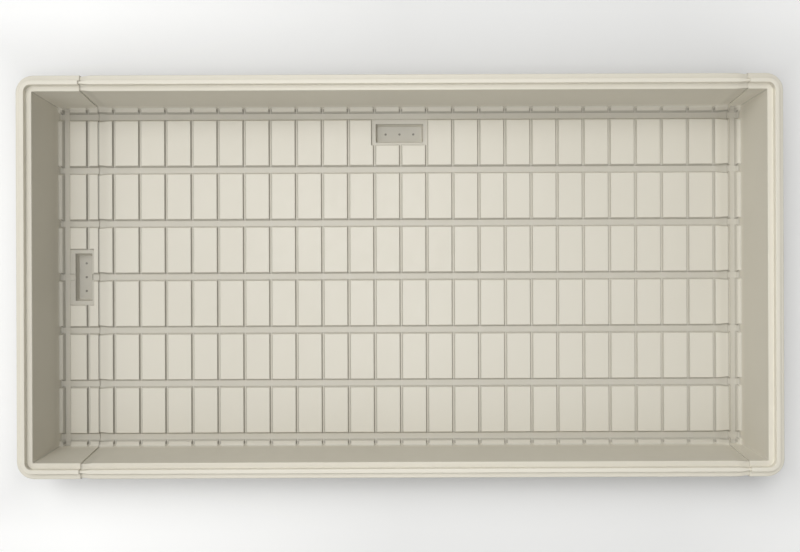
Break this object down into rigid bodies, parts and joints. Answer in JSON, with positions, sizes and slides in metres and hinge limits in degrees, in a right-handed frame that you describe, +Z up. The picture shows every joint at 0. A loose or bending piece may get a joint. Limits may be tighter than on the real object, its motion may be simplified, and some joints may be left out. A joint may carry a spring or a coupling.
{
  "type": "hydroponic flood tray",
  "caption": "Long shallow formed plastic flood tray in lapped sections, with a pad floor cut by drain channels, stepped rim and recessed drain pockets.",
  "frame": {"origin": "under the middle of the tray, level with the undersides of the drain pockets", "axes": "+X along the tray from the end with the drain pocket to the other end, +Y across it towards the side with the drain pocket, +Z up"},
  "size_m": [2.593, 1.365, 0.2119],
  "materials": {
    "tray_sheet": "formed sheet with a fine satin grain, ivory",
    "seam_tape": "soft grey sealing tape"
  },
  "bodies": {
    "root": {"left_end_section": "tray_sheet", "mid_section": "tray_sheet", "right_end_section": "tray_sheet", "left_seam_tape": "seam_tape", "right_seam_tape": "seam_tape"}
  },
  "joints": []
}
